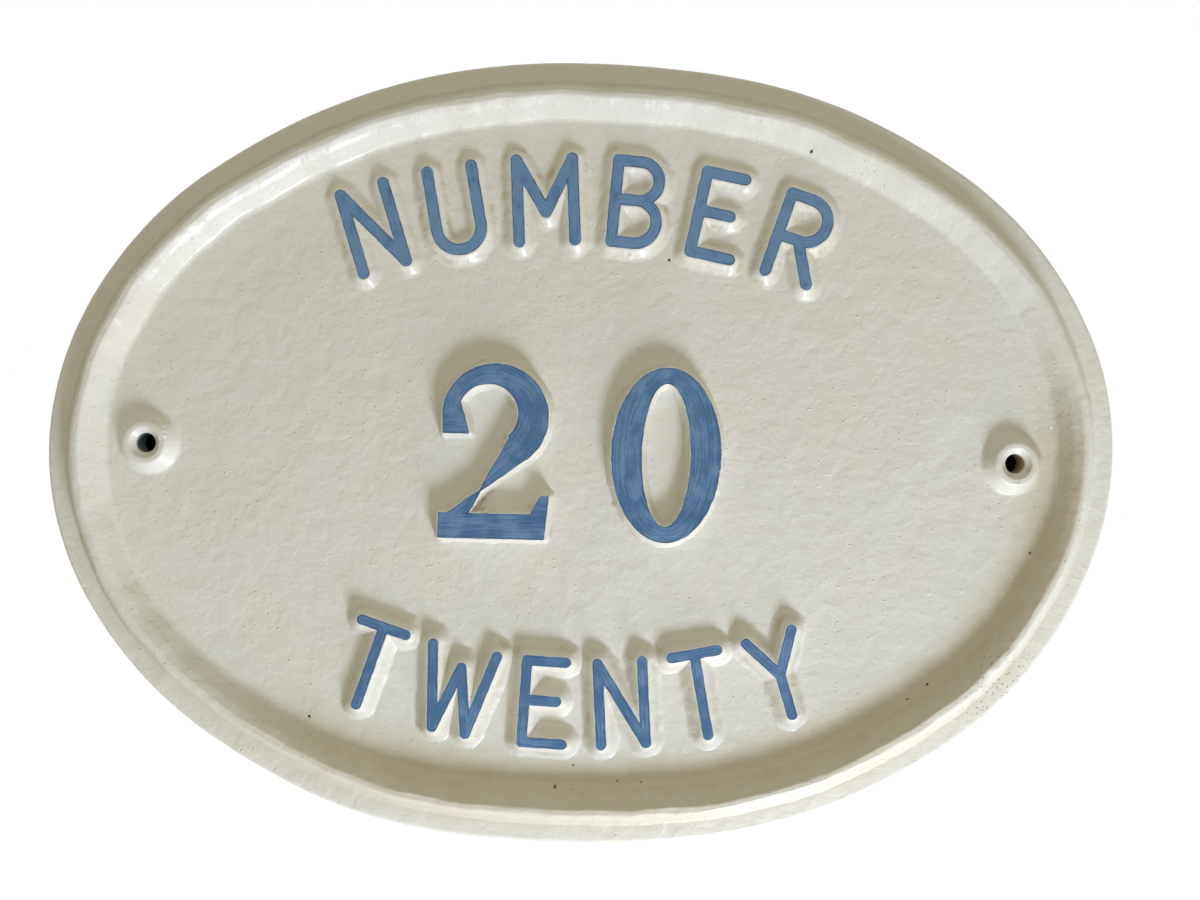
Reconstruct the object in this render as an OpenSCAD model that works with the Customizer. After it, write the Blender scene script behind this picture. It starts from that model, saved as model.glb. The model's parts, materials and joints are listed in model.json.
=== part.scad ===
// Oval cast house number plaque that hangs on a wall with two screws.
// It is upright as on the wall: X is its width, Z is up and its front faces -Y.
// The origin is the centre of the flat back.

/* [Oval plate] */
// Width over the ends of the oval
plate_w = 300; // [280:5:320]
// Height of the oval
plate_h = 220; // [205:5:235]
// Radius of the two end arcs
end_r = 94; // [88:1:98]
// Thickness of the flat plate
plate_t = 3.5; // [3:0.5:6]
// Rounding of the front edge of the plate
edge_r = 1.5; // [0.5:0.25:2.5]

/* [Rim bead] */
// Flat ledge left outside the bead
ledge_w = 5.8; // [4:0.2:9]
// Width of the bead at its foot
bead_w = 10.6; // [9:0.2:13]
// Height of the bead over the plate
bead_rise = 6.6; // [5:0.2:7]
// Slope of both sides of the bead, in degrees
bead_slope = 58; // [50:1:62]
// Rounding on the top of the bead
crest_r = 2; // [0.8:0.2:2]
// Fillet at the foot of the bead
bead_fillet = 1.8; // [0.6:0.2:2.4]

/* [Screw bosses] */
// Distance between the two screw holes
screw_spacing = 242; // [200:1:244]
// Height of a boss over the plate
boss_rise = 4.4; // [3:0.2:6]
// Radius of the flat top of a boss
boss_top_r = 5.9; // [5.2:0.1:7]
// Radius of a boss at its foot
boss_base_r = 9.2; // [8:0.1:10]
// Fillet at the foot of a boss
boss_fillet = 1.2; // [0.4:0.2:1.6]
// Diameter of the screw hole
hole_d = 5.4; // [4:0.2:6.4]
// Diameter of the countersink at the top of the boss
sink_d = 8.4; // [7.4:0.2:9.6]
// Depth of the countersink
sink_depth = 1.4; // [0.6:0.2:2.4]

/* [Number] */
// Height of the numerals at their painted tops
digit_h = 49; // [36:1:56]
// Width of a numeral at its top
digit_w = 31; // [26:1:34]
// Gap between the two numerals
digit_gap = 16.5; // [12:0.5:24]
// Height of the numerals over the plate
digit_rise = 4.4; // [3:0.2:6]
// How far a side of a numeral runs out from its top to its foot
digit_draft = 1.1; // [0.6:0.1:1.8]
// Thick strokes of the numerals
thick_stroke = 9; // [7:0.5:10]
// Thin strokes of the numerals
thin_stroke = 5; // [4:0.2:6]

/* [Hidden] */
// Overlap that fuses one form into the next
bite = 1;
// Rounding of a numeral's outer corners at its top
corner_r = 0.6;
// How far a numeral's side runs out from its top to its sunk foot
foot_run = digit_draft * (digit_rise + bite) / digit_rise;
// How far the bead and the flat band inside it reach in from the edge
band_w = ledge_w + bead_w + 8;
cream = [0.86, 0.85, 0.79];
blue = [0.36, 0.48, 0.65];

// Radius of the side arcs of an oval that meet its end arcs smoothly
function oval_side_r(half_long, half_short, end_r) =
    (pow(half_long - end_r, 2) + pow(half_short, 2) - pow(end_r, 2)) / (2 * (half_short - end_r));

// Points on an arc, from angle a0 to a1
function arc(x, y, r, a0, a1, steps) =
    [for (i = [0:steps]) let (a = a0 + (a1 - a0) * i / steps) [x + r * cos(a), y + r * sin(a)]];

// Side of a raised form: solid to the left of a slope whose foot is at x = 0,
// with a fillet at the foot and the top edge rounded over
module slope_side(run, rise, top_r, foot_r, reach) {
    lean = atan2(rise, run);
    top_t = top_r * tan(lean / 2);
    foot_t = foot_r * tan(lean / 2);
    difference() {
        polygon([
            [-reach, -bite],
            [foot_t, -bite],
            [foot_t, 0],
            [-foot_t * cos(lean), foot_t * sin(lean)],
            [-run + top_t * cos(lean), rise - top_t * sin(lean)],
            [-run - top_t, rise],
            [-reach, rise]
        ]);
        translate([foot_t, foot_r]) circle(r = foot_r, $fn = 64);
    }
    translate([-run - top_t, rise - top_r]) circle(r = top_r, $fn = 64);
}

// Cross section of the bead, its outer foot at x = 0 and its inner foot at x = -bead_w
module bead_section() {
    run = bead_rise / tan(bead_slope);
    intersection() {
        slope_side(run, bead_rise, crest_r, bead_fillet, bead_w + bite * 3);
        translate([-bead_w, 0]) mirror([1, 0])
            slope_side(run, bead_rise, crest_r, bead_fillet, bead_w + bite * 3);
    }
}

// Cross section from the outer edge of the plate, at x = 0, in over the bead
module band_section() {
    translate([-ledge_w, plate_t]) bead_section();
    polygon([[-band_w, 0], [0, 0], [0, plate_t - edge_r], [-edge_r, plate_t], [-band_w, plate_t]]);
    translate([-edge_r, plate_t - edge_r]) circle(r = edge_r, $fn = 64);
}

// Draws children along an oval of four arcs, long way along X. Each arc is cut out by
// the lines through its centre and its neighbours' centres, and $arc_r is its radius
module along_oval(half_long, half_short, end_r, height) {
    side_r = oval_side_r(half_long, half_short, end_r);
    hub = [half_long - end_r, 0];
    side_y = side_r - half_short;
    far = [4 * hub[0], 3 * side_y];
    for (flip = [0, 1]) {
        mirror([flip, 0, 0]) arc_sector(hub, end_r, [hub, far, [far[0], -far[1]]], height)
            children();
        mirror([0, flip, 0]) arc_sector([0, -side_y], side_r, [-hub, hub, far, [-far[0], far[1]]], height)
            children();
    }
}

// What of the children, drawn about an arc's centre, falls inside its outline
module arc_sector(centre, $arc_r, outline, height) {
    intersection() {
        translate(centre) children();
        translate([0, 0, -bite]) linear_extrude(height + 2 * bite) polygon(outline);
    }
}

// The rim all the way round
module rim() {
    along_oval(plate_w / 2, plate_h / 2, end_r, plate_t + bead_rise)
        rotate_extrude($fn = 360) translate([$arc_r, 0]) band_section();
}

// Flat plate inside the rim, its outline hidden in the band
module field() {
    inset = band_w - 4;
    side_r = oval_side_r(plate_w / 2, plate_h / 2, end_r);
    end_x = plate_w / 2 - end_r;
    side_z = side_r - plate_h / 2;
    meet = atan2(side_z, end_x);
    linear_extrude(plate_t) polygon(concat(
        arc(end_x, 0, end_r - inset, -meet, meet, 12),
        arc(0, -side_z, side_r - inset, meet, 180 - meet, 12),
        arc(-end_x, 0, end_r - inset, 180 - meet, 180 + meet, 12),
        arc(0, side_z, side_r - inset, 180 + meet, 360 - meet, 12)
    ));
}

// Drafted boss that takes a screw head
module boss() {
    translate([0, 0, plate_t]) rotate_extrude($fn = 96) intersection() {
        translate([boss_base_r, 0])
            slope_side(boss_base_r - boss_top_r, boss_rise, 0.6, boss_fillet, boss_base_r);
        translate([0, -bite]) square([boss_base_r + boss_fillet, boss_rise + 2 * bite]);
    }
}

// Screw hole with its countersink
module screw_hole() {
    top = plate_t + boss_rise;
    translate([0, 0, -bite]) cylinder(d = hole_d, h = top + 2 * bite, $fn = 64);
    translate([0, 0, top - sink_depth]) cylinder(d1 = hole_d, d2 = sink_d, h = sink_depth, $fn = 64);
    translate([0, 0, top]) cylinder(d = sink_d, h = bite, $fn = 64);
}

// A round post whose side leans in from foot to top, sunk into the plate by bite
module post(r) {
    translate([0, 0, -bite]) cylinder(r1 = r + foot_run, r2 = r, h = digit_rise + bite, $fn = 96);
}

// A round opening through a raised form, wider at the top than at the plate
module eye(r) {
    lean = digit_draft * 0.6 / digit_rise;
    translate([0, 0, -bite])
        cylinder(r1 = r - lean * (digit_rise + bite), r2 = r + lean * bite, h = digit_rise + 2 * bite, $fn = 96);
}

// A straight-sided piece of a numeral round the given corners
module slab(corners) {
    hull() for (p = corners) translate(p) translate([0, 0, -bite])
        cylinder(r1 = corner_r + foot_run, r2 = corner_r, h = digit_rise + bite, $fn = 24);
}

// The nought: an oval with thick sides and thin ends
module nought() {
    tall = digit_h / digit_w;
    eye_tall = (digit_h - 2 * thin_stroke) / (digit_w - 2 * thick_stroke);
    difference() {
        scale([1, tall, 1]) post(digit_w / 2);
        scale([1, eye_tall, 1]) eye(digit_w / 2 - thick_stroke);
    }
}

// Angle of the line from point p that touches the right side of a circle
function touch(p, c, r) = atan2(c[1] - p[1], c[0] - p[0]) - asin(r / norm(c - p));

// Point at an angle from a centre, moved on along the circle's tangent there
function around(c, r, a, on = 0) = c + r * [cos(a), sin(a)] + on * [-sin(a), cos(a)];

// The two: a bowl that thins round to a flared end, a straight neck down to the
// left, and a foot with a spur at its right end
module two() {
    half_w = digit_w / 2;
    low = -digit_h / 2;
    bowl_r = half_w - 0.5;
    bowl = [0, digit_h / 2 - bowl_r];
    eye_r = bowl_r - (thick_stroke + thin_stroke) / 2;
    eye_c = bowl + [(thin_stroke - thick_stroke) / 2, 0.8];
    foot_h = thin_stroke * 1.5;
    end_y = bowl[1] - thin_stroke * 0.9;
    toe = [corner_r - half_w, low + foot_h * 0.7];
    heel = [thin_stroke * 1.7 - half_w, low + foot_h];
    neck_a = touch(heel, bowl, bowl_r) - 90;
    inner_a = touch(toe, eye_c, eye_r) - 90;
    difference() {
        translate(bowl) post(bowl_r);
        translate(eye_c) eye(eye_r);
        translate([0, 0, -2 * bite]) linear_extrude(digit_rise + 4 * bite) polygon([
            eye_c,
            around(bowl, 2 * bowl_r, 178),
            around(bowl, 3 * bowl_r, 240),
            around(bowl, 2 * bowl_r, neck_a - 3)
        ]);
    }
    slab([
        around(bowl, bowl_r - corner_r - 0.05, 172),
        [corner_r + 0.2 - bowl_r, end_y],
        [thin_stroke * 1.5 - bowl_r, end_y],
        around(eye_c, eye_r + corner_r + 0.05, 158)
    ]);
    slab([
        around(bowl, bowl_r - corner_r - 0.05, neck_a, corner_r),
        toe,
        heel,
        around(eye_c, eye_r + corner_r + 0.05, inner_a, 2 * corner_r)
    ]);
    slab([
        [corner_r - half_w, low + corner_r],
        [half_w - corner_r - 1, low + corner_r],
        [half_w - corner_r - 0.4, low + foot_h - corner_r],
        [corner_r - half_w, low + foot_h - corner_r]
    ]);
    slab([
        [half_w - corner_r - 1, low + corner_r],
        [half_w - corner_r, low + foot_h + thin_stroke * 0.9],
        [half_w - corner_r - thin_stroke * 0.35, low + foot_h + thin_stroke * 0.9],
        [half_w - thin_stroke, low + foot_h - corner_r]
    ]);
}

// The two numerals side by side, centred on the plate
module number() {
    step = (digit_w + digit_gap) / 2;
    translate([-step, 0, plate_t]) two();
    translate([step, 0, plate_t]) nought();
}

// The whole casting, stood upright with its back on the plane y = 0
module plaque() {
    rotate([90, 0, 0]) difference() {
        union() {
            color(cream) {
                field();
                rim();
                for (side = [-1, 1]) translate([side * screw_spacing / 2, 0, 0]) boss();
            }
            color(blue) number();
        }
        for (side = [-1, 1]) translate([side * screw_spacing / 2, 0, 0]) color(cream) screw_hole();
    }
}

plaque();
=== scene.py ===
"""Cast and painted oval house number plaque: its visual model, light and camera.

The plate, its rim bead and its two screw bosses are one casting. The two words and the
number stand proud of it, with their flat tops painted blue over the cream.
Lengths named in millimetres are turned to metres where a mesh is made.
"""

import json
import math

import bmesh
import bpy
from bpy.props import FloatProperty, FloatVectorProperty, PointerProperty
from mathutils import Matrix, Vector, noise

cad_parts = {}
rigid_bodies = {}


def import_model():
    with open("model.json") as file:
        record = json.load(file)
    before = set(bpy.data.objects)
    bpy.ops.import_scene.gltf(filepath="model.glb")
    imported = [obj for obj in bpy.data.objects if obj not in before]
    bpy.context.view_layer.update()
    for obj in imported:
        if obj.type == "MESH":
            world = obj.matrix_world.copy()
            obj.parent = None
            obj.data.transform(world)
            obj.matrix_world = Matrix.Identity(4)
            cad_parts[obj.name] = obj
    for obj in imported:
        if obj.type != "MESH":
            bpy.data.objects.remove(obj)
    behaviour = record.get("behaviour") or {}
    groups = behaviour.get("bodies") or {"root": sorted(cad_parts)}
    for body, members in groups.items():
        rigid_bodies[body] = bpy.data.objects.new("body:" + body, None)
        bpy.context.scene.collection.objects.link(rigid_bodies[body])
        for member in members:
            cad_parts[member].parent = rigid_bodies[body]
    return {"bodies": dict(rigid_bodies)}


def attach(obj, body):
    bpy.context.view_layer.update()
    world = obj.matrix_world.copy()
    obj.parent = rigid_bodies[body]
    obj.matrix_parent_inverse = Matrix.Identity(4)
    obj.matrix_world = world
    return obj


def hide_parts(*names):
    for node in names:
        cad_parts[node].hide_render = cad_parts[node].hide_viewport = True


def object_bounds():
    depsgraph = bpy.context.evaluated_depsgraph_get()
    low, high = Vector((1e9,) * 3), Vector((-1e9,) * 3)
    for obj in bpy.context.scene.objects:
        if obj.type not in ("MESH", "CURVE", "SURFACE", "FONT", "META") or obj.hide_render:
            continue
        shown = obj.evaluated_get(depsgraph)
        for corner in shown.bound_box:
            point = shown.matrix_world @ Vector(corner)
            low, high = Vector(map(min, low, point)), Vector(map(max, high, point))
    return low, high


bl_info = {
    "name": "Oval house number plaque",
    "version": (1, 0, 0),
    "blender": (4, 5, 0),
    "location": "View3D > Sidebar > Plaque",
    "description": "Builds a cast and painted oval number plaque with raised lettering",
    "category": "Add Mesh",
}

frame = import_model()
cad_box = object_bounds()
MM = 0.001
BODY = sorted(frame["bodies"])[0]

# The oval was moulded turned a little against its lettering and screw holes

TILT = math.radians(1.4)

# How much further the bead's inner side runs than its outer side, in mm

INNER_EASE = 0.5

# The bead's rounded inner shoulder: how far in and down its middle lies, in mm

SHOULDER_RUN = 2.0
SHOULDER_FALL = 1.7

# Steps of the rim round an end arc and round a side arc, and of a boss round its axis

END_STEPS = 200
SIDE_STEPS = 230
BOSS_STEPS = 96

# Flat left round the bead and the bosses where the face is joined on, the least gap
# between it and the face's grid, and the grid's pitch and its distance from the edge, in mm

FLAT_BAND = 1.3
FLAT_RING = 0.95
JOIN_GAP = 0.7
FACE_PITCH = 1.0
FACE_MARGIN = 18.0

# The lettering's grids: pitch, plate that they take with them, rounding of the edges of the
# flat tops, fillets at the feet, and the height at which their skirts end in the plate, in mm

LETTER_PITCH = 0.27
NUMERAL_PITCH = 0.25
LETTER_APRON = 1.3
NUMERAL_APRON = 1.6
TOP_ROUNDING = 0.35
LETTER_FILLET = 0.55
NUMERAL_FILLET = 1.4
SKIRT_END = 2.4

# The words: name, letters, 1 for an arc that rises in the middle and -1 for one that sinks
# there, and how pale the blue is, which paints light and shade: paler on the upper word, darker
# on the lower. WORD_SIZES are the sizes that each has in the panel

WORDS = (
    ("upper", "NUMBER", 1, 0.10),
    ("lower", "TWENTY", -1, -0.04),
)
WORD_SIZES = ("r", "z", "gap", "rise", "run", "stroke")

# How far the blue's edge wanders on the letters and on the numerals, in mm

LETTER_WANDER = 0.3
NUMERAL_WANDER = 0.5

# Radius at which the brush went round the bowl of the 2, in mm

BOWL_BRUSH_R = 11.0

# How much further than drawn the ragged foot of a side can run

RAGGED_RUN = 1.36

# Size of the finished casting against the solid's, and its least gap to the solid's front

FIT = 0.9995
FRONT_GAP = 0.00003

# Sand waves are kept off what lies lower than this over the back, in mm

WAVES_FROM = 1.0

# Edges that turn more than this stay sharp

SHARP_TURN = math.radians(55)

# How the real outline strays from the drawn oval: lobes, size in mm, turn in degrees

EDGE_LOBES = (
    (2, 0.366, 210.1),
    (3, 0.339, 169.0),
    (4, 0.245, 151.1),
    (5, 0.338, 131.3),
    (6, 0.827, -1.0),
    (8, 0.242, 31.6),
)

# Flaws of the casting and its paint: across, up and radius in mm, and for the crest's flaws
# also how far they stand out. PITTED is the middle of a patch of fine pits

BLACK_PINHOLES = (
    (-74.4, -75.7, 0.5),
    (62.4, 85.8, 0.45),
    (23.5, 54.8, 0.5),
    (98.8, -62.5, 0.45),
)
BROWN_PINHOLES = (
    (-4.9, -93.6, 0.5),
    (12.5, -91.8, 0.32),
    (19.2, -91.9, 0.28),
    (0.0, -87.6, 0.35),
    (93.3, -66.8, 0.32),
    (126.8, -25.0, 0.4),
)
CREST_FLAWS = (
    (114.0, -58.0, 1.5, -0.7),
    (111.6, -61.2, 1.2, 0.45),
    (118.5, -50.0, 1.0, -0.3),
)
BLUE_NICKS = (
    (-29.5, 24.2, 0.55),
    (-26.8, 24.5, 0.45),
    (-22.0, 24.4, 0.5),
    (39.2, 2.5, 0.5),
    (38.8, -4.2, 0.4),
    (8.5, 5.5, 0.35),
)
# Darker patches in the inner corners of the numerals: partly stain, partly painted shade
STAINS_AND_SHADE = (
    (-28.4, -14.9, 3.6),
    (-25.0, -15.6, 2.6),
    (-30.5, 9.5, 2.2),
    (-13.0, -15.9, 2.0),
)
# The pits round PITTED are also darkened in colour: painted shade in the pits
PITTED = (119.0, -63.0)
# Paint bubbles: small real bumps, also lightened to near white as painted glints
BUBBLES_AND_GLINTS = (
    (-118.0, 6.5, 0.5),
    (-117.2, 5.8, 0.35),
    (-116.1, 4.8, 0.5),
    (-115.6, 3.4, 0.4),
    (-115.3, 1.9, 0.5),
    (-115.4, 0.4, 0.35),
    (-115.9, -1.8, 0.35),
    (131.9, 10.5, 0.6),
)

# Where the camera stands, where the lamps hang, seen from the plaque, and the tints of the
# light. The room is brightest in the direction ROOM_WAY

CAMERA_PLACE = (0.0054, -0.2835, 0.001)
KEY_WAY = (0.348, -0.475, -0.808)
LOW_WAY = (0.38, -0.22, -0.90)
KEY_TINT = (0.715, 0.80, 1.0)
LOW_TINT = (1.0, 0.92, 0.95)
BRIGHT_ROOM = (1.0, 0.95, 0.79)
DIM_ROOM = (1.0, 0.90, 0.66)
ROOM_WAY = (0.52, -0.66, -0.54)
ROOM_LEAST = 0.52
ROOM_GAIN = 0.85

# The dark discs behind the screw holes, painted shadow that makes the holes look dark, with
# their gap to the back and their reach beyond the hole, and half the floor's side, in metres

DISC_GAP = 0.0001
DISC_EXTRA = 0.0003
FLOOR_HALF = 12.0

# Letter strokes in mm about each letter's middle. CAP is half the height between the
# middles of the top and bottom strokes


def lines(*at):
    """Straight strokes from each point to the next."""
    return tuple(("line", *at[i : i + 4]) for i in range(0, len(at) - 2, 2))


def arc(x, z, radius, start, end):
    """A round stroke, its ends in degrees."""
    return ("arc", x, z, radius, start, end)


CAP = 11.35
LETTERS = {
    "N": lines(-6.2, -CAP, -6.2, CAP, 6.2, -CAP, 6.2, CAP),
    "U": (
        *lines(-6.2, CAP, -6.2, 6.2 - CAP),
        arc(0.0, 6.2 - CAP, 6.2, 180, 360),
        *lines(6.2, 6.2 - CAP, 6.2, CAP),
    ),
    "M": lines(-7.8, -CAP, -7.8, CAP, 0.0, -3.4, 7.8, CAP, 7.8, -CAP),
    "B": (
        *lines(-5.8, -CAP, -5.8, CAP, 0.6, CAP),
        arc(0.6, CAP - 5.4, 5.4, -90, 90),
        *lines(-5.8, CAP - 10.8, 0.6, CAP - 10.8),
        arc(0.2, -5.4, 5.95, -90, 90),
        *lines(-5.8, -CAP, 0.2, -CAP),
    ),
    "E": (
        *lines(-5.4, -CAP, -5.4, CAP, 5.4, CAP),
        *lines(-5.4, 0.4, 3.4, 0.4),
        *lines(-5.4, -CAP, 5.8, -CAP),
    ),
    "R": (
        *lines(-5.8, -CAP, -5.8, CAP, 0.4, CAP),
        arc(0.4, CAP - 6.0, 6.0, -90, 90),
        *lines(-5.8, CAP - 12.0, 0.4, CAP - 12.0),
        *lines(0.2, CAP - 12.0, 6.2, -CAP),
    ),
    "T": (*lines(-6.4, CAP, 6.4, CAP), *lines(0.0, CAP, 0.0, -CAP)),
    "W": lines(-9.0, CAP, -4.7, -CAP, 0.0, CAP - 5.0, 4.7, -CAP, 9.0, CAP),
    "Y": (*lines(-6.6, CAP, 0.0, 0.2), *lines(6.6, CAP, 0.0, 0.2, 0.0, -CAP)),
}


def length(name, description, default):
    """A length for the panel, in metres."""
    return FloatProperty(name=name, description=description, default=default, unit="LENGTH")


def amount(name, description, default, subtype="NONE"):
    """A plain number or an angle for the panel."""
    return FloatProperty(name=name, description=description, default=default, subtype=subtype)


def colour(name, description, default):
    """A colour for the panel."""
    return FloatVectorProperty(
        name=name, description=description, default=default, subtype="COLOR"
    )


class PlateSizes(bpy.types.PropertyGroup):
    """Sizes of the plate, its rim bead and its bosses"""

    width: length("Width", "Width over the ends of the oval", 0.3)
    height: length("Height", "Height of the oval", 0.22)
    end_r: length("End radius", "Radius of the two end arcs of the oval", 0.094)
    thickness: length("Thickness", "Thickness of the flat plate", 0.0035)
    edge_r: length("Edge rounding", "Rounding of the front edge", 0.0015)
    ledge: length("Ledge", "Flat ledge outside the bead", 0.0058)
    bead_w: length("Bead width", "Width of the bead at its foot", 0.0106)
    bead_rise: length("Bead height", "Height of the bead over the plate", 0.0066)
    bead_slope: amount("Bead slope", "Slope of the bead's sides", math.radians(58), "ANGLE")
    crest_r: length("Crest rounding", "Rounding on top of the bead", 0.002)
    foot_r: length("Bead fillet", "Fillet at the foot of the bead", 0.0018)
    screw_spacing: length("Screw spacing", "Distance between the screw holes", 0.242)
    boss_rise: length("Boss height", "Height of a boss over the plate", 0.0038)
    boss_top: length("Boss top", "Radius of the top of a boss", 0.0059)
    boss_base: length("Boss foot", "Radius of a boss at its foot", 0.0086)
    hole: length("Screw hole", "Radius of the screw hole", 0.0027)
    sink: length("Countersink", "Radius of the countersink", 0.0042)
    sink_depth: length("Countersink depth", "Depth of the countersink", 0.0014)


class LetterSizes(bpy.types.PropertyGroup):
    """Sizes of the raised letters and numerals"""

    upper_rise: length("Upper rise", "Height of the upper word over the plate", 0.0021)
    lower_rise: length("Lower rise", "Height of the lower word over the plate", 0.0036)
    upper_stroke: length("Upper stroke", "Width of the upper word's flat tops", 0.0036)
    lower_stroke: length("Lower stroke", "Width of the lower word's flat tops", 0.0032)
    upper_run: length("Upper side run", "How far the upper word's sides run out", 0.0028)
    lower_run: length("Lower side run", "How far the lower word's sides run out", 0.0034)
    upper_r: length("Upper arc", "Radius of the arc of the upper word", 0.1915)
    upper_z: length("Upper word", "Height of the upper word's middle", 0.0707)
    lower_r: length("Lower arc", "Radius of the arc of the lower word", 0.182)
    lower_z: length("Lower word", "Height of the lower word's middle", -0.0695)
    upper_gap: length("Upper gap", "Gap from one upper letter to the next", 0.0112)
    lower_gap: length("Lower gap", "Gap from one lower letter to the next", 0.0096)
    number_h: length("Numeral height", "Height of the numerals", 0.049)
    number_rise: length("Numeral rise", "Height of the numerals over the plate", 0.0044)
    number_w: length("Numeral width", "Width of a numeral", 0.031)
    number_step: length("Numeral step", "From one numeral's middle to the next", 0.0475)
    number_run: length("Numeral side run", "How far a numeral's side runs out", 0.0011)
    thick: length("Thick stroke", "Thick strokes of the numerals", 0.009)
    thin: length("Thin stroke", "Thin strokes of the numerals", 0.005)


class PaintColours(bpy.types.PropertyGroup):
    """Colours of the paint and of what shows through it"""

    cream: colour("Cream", "The gloss paint all over", (0.765, 0.752, 0.665))
    thick_cream: colour("Thick cream", "Paint where it lies thickest", (0.745, 0.715, 0.59))
    blue: colour("Blue", "The paint on the lettering", (0.048, 0.138, 0.278))
    light_blue: colour("Light blue", "Brush streaks in the blue", (0.138, 0.26, 0.424))
    edge_blue: colour("Edge blue", "Dark line where the blue ends", (0.02, 0.055, 0.12))
    # Stain colour: partly dirt and partly painted shade, at the feet of the strokes, in inner
    # corners and in pits
    stain_and_shade: colour("Stain", "Dirt in the corners", (0.42, 0.33, 0.16))
    # Grime colour: painted shade with some dirt on the rim, and the tone of the sand patches on
    # the back
    grime_and_shade: colour("Grime", "Dull film at the foot of the bead", (0.575, 0.495, 0.335))
    # Bubble colour: a painted glint on the paint bubbles
    bubble_glint: colour("Bubble", "Thin bright skin of a paint bubble", (0.95, 0.95, 0.93))
    rust: colour("Rust", "Rust in the brown pinholes", (0.16, 0.08, 0.03))
    # Bore colours: painted shade on the left bore's wall and painted light on the right one's
    left_bore_painted_shade: colour("Left bore", "Wall of the left screw hole", (0.2, 0.25, 0.24))
    right_bore_painted_light: colour("Right bore", "Wall of the right screw hole", (0.52, 0.42, 0.26))
    iron: colour("Iron", "Bare cast iron in the pinholes", (0.035, 0.032, 0.03))


class StageSettings(bpy.types.PropertyGroup):
    """The floor, the lamps and the camera"""

    floor_drop: length("Floor", "How far below the plaque the floor lies", 1.1)
    floor_glow: amount("Floor glow", "How bright the floor shows behind the plaque", 0.85)
    key_watts: amount("Key lamp", "Power of the key lamp in watts", 3.8)
    low_watts: amount("Low lamp", "Power in watts of the lamp that grazes the plaque", 1.15)
    key_size: length("Key size", "Side of the key lamp", 0.16)
    key_far: length("Key distance", "From the plaque to the key lamp", 0.68)
    room: amount("Room", "Strength of the warm light from all round", 0.485)
    lens: amount("Lens", "Focal length in millimetres", 29.92)
    roll: amount("Roll", "Turn of the camera about its axis", math.radians(1.4), "ANGLE")


# Shapes in the plane of the plate, in millimetres


def mm(metres):
    """A length of the panel in millimetres."""
    return round(metres / MM, 4)


class Oval:
    """The drawn oval of four arcs, and how the real outline strays from it, in mm."""

    def __init__(self, p):
        half_h = mm(p.height) / 2
        self.end_r = mm(p.end_r)
        self.end_x = mm(p.width) / 2 - self.end_r
        self.side_r = (self.end_x**2 + half_h**2 - self.end_r**2) / (half_h - self.end_r) / 2
        self.side_z = self.side_r - half_h
        self.meet = math.atan2(self.side_z, self.end_x)

    def inset(self, x, z):
        """How far a point lies inside the oval."""
        x, z = abs(x), abs(z)
        if x < self.end_x + z * self.end_x / self.side_z:
            return self.side_r - math.hypot(x, z + self.side_z)
        return self.end_r - math.hypot(x - self.end_x, z)

    def reach(self, turn):
        """How far the oval reaches from its middle in a direction."""
        c, s = abs(math.cos(turn)), abs(math.sin(turn))
        along = c * self.end_x
        reach = along + math.sqrt(self.end_r**2 - self.end_x**2 + along**2)
        if reach * s <= self.end_r * math.sin(self.meet) and reach * c >= self.end_x:
            return reach
        along = s * self.side_z
        return -along + math.sqrt(self.side_r**2 - self.side_z**2 + along**2)

    def straying(self, turn):
        """How far the real outline lies outside the drawn one in a direction."""
        lobes = sum(s * math.cos(n * (turn - TILT) - math.radians(a)) for n, s, a in EDGE_LOBES)
        return lobes + self.reach(turn - TILT) - self.reach(turn)


def smooth_step(low, high, value):
    """0 at low, 1 at high and smooth between them."""
    t = min(max((value - low) / (high - low), 0.0), 1.0)
    return t * t * (3.0 - 2.0 * t)


def soft_min(a, b, k):
    """The lesser of two heights, rounded over where they meet."""
    return min(a, b) - max(k - abs(a - b), 0.0) ** 2 / (4.0 * k)


def soft_max(a, b, k):
    """The greater of two heights, with a fillet where they meet."""
    return max(a, b) + max(k - abs(a - b), 0.0) ** 2 / (4.0 * k)


def lumps(x, z, size, seed):
    """A smooth random height between about -1 and 1."""
    return noise.noise(Vector((x / size, z / size, seed)))


def sand_waves(x, z):
    """Unevenness of the face as the sand mould and the paint left it."""
    broad = 0.15 * lumps(x, z, 16.0, 1.7) + 0.10 * lumps(x, z, 6.0, 5.3)
    return broad + 0.035 * lumps(x, z, 2.8, 9.1)


def to_line(x, z, ax, az, bx, bz):
    """Distance from a straight stroke and how far along it the nearest point is."""
    ux, uz = bx - ax, bz - az
    whole = math.hypot(ux, uz)
    t = ((x - ax) * ux + (z - az) * uz) / whole
    t = min(max(t, 0.0), whole)
    return math.hypot(x - ax - ux * t / whole, z - az - uz * t / whole), t


def to_arc(x, z, cx, cz, r, a0, a1):
    """Distance from a curved stroke and how far along it the nearest point is."""
    a = math.degrees(math.atan2(z - cz, x - cx))
    while a < a0:
        a += 360.0
    if a <= a1:
        return abs(math.hypot(x - cx, z - cz) - r), math.radians(a - a0) * r
    ends = []
    for end in (a0, a1):
        ex, ez = cx + r * math.cos(math.radians(end)), cz + r * math.sin(math.radians(end))
        ends.append((math.hypot(x - ex, z - ez), math.radians(end - a0) * r))
    return min(ends)


def to_strokes(strokes, x, z):
    """Distance from the nearest stroke of a letter, and the place along it."""
    best = (1e9, 0.0)
    for kind, *sizes in strokes:
        found = to_line(x, z, *sizes) if kind == "line" else to_arc(x, z, *sizes)
        best = min(best, found)
    return best


def to_polygon(x, z, corners):
    """Distance outside a polygon's edge, less than 0 inside it."""
    far, inside = 1e9, False
    for (ax, az), (bx, bz) in zip(corners, corners[1:] + corners[:1]):
        far = min(far, to_line(x, z, ax, az, bx, bz)[0])
        if (az > z) != (bz > z) and x < (bx - ax) * (z - az) / (bz - az) + ax:
            inside = not inside
    return -far if inside else far


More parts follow.
